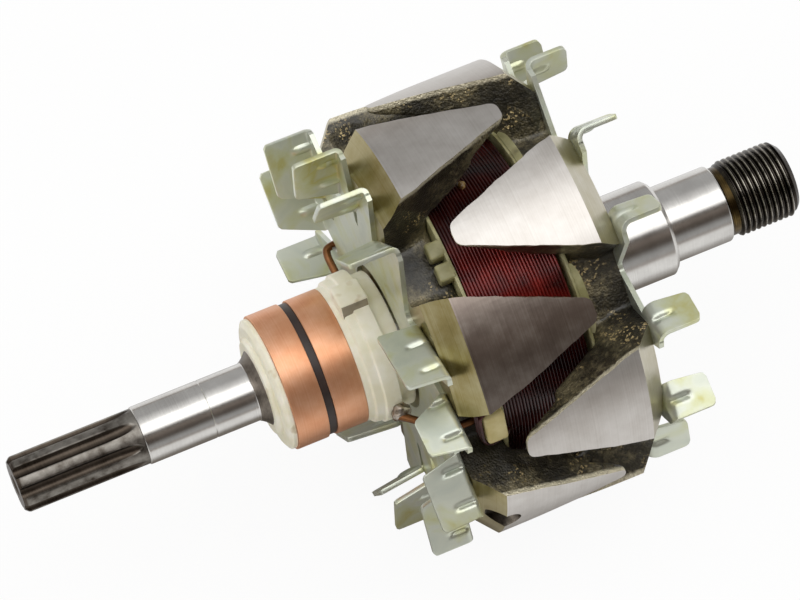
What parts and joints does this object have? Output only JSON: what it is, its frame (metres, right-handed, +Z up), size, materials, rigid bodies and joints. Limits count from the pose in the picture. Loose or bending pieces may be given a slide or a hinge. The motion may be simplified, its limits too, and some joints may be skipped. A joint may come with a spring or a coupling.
{
  "type": "alternator rotor",
  "caption": "Claw-pole alternator rotor with field winding, copper slip rings, sheet-metal fans, a splined rear shaft and a threaded pulley end.",
  "frame": {"origin": "on the shaft's axis at the shoulder of the front bearing seat", "axes": "+X along the shaft towards the threaded pulley end, +Z up as the rotor lies on a level surface"},
  "size_m": [0.2077, 0.1104, 0.1104],
  "materials": {
    "turned_steel": "turned and ground steel",
    "forged_iron": "forged, with turned outer faces",
    "zinc_sheet": "pressed sheet with yellow-passivated zinc",
    "ivory_plastic": "moulded",
    "dark_plastic": "moulded",
    "copper": "turned copper",
    "enamelled_wire": "enamelled wire, layer wound"
  },
  "bodies": {
    "root": {"shaft": "turned_steel", "rear_pole": "forged_iron", "front_pole": "forged_iron", "pole_core": "forged_iron", "bobbin": "ivory_plastic", "field_coil": "enamelled_wire", "rear_fan": "zinc_sheet", "front_fan": "zinc_sheet", "slip_ring_carrier": "ivory_plastic", "rear_slip_ring": "copper", "front_slip_ring": "copper", "ring_insulator": "dark_plastic", "start_post": "copper", "finish_post": "copper", "start_lead": "copper", "finish_lead": "copper", "start_anchor": "ivory_plastic", "finish_anchor": "ivory_plastic", "start_tail": "enamelled_wire", "finish_tail": "enamelled_wire"}
  },
  "joints": []
}
